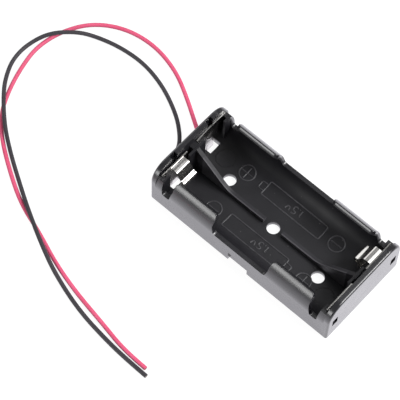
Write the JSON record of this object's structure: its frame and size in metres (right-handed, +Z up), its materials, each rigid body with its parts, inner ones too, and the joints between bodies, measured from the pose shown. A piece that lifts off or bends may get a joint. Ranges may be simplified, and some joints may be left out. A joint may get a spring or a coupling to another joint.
{
  "type": "cylindrical cell holder",
  "caption": "Open-top moulded holder with round bays for small cylindrical cells side by side, leaf spring contacts, sprung side arms and flexible leads from one end.",
  "frame": {"origin": "centre of the underside of the housing, leads left out", "axes": "+X along the cells, away from the end where the leads leave; +Y across the cells, towards the bay of the red lead; +Z up out of the open bays"},
  "size_m": [0.1004, 0.0635, 0.0125],
  "materials": {
    "black_plastic": "satin",
    "nickel_plate": "bright",
    "red_insulation": "satin",
    "black_insulation": "satin",
    "solder": "bright"
  },
  "bodies": {
    "root": {"housing": "black_plastic", "positive_contact": "nickel_plate", "negative_contact": "nickel_plate", "bridge_contact": "nickel_plate", "red_lead": "red_insulation", "black_lead": "black_insulation", "red_solder_joint": "solder", "black_solder_joint": "solder"}
  },
  "joints": []
}
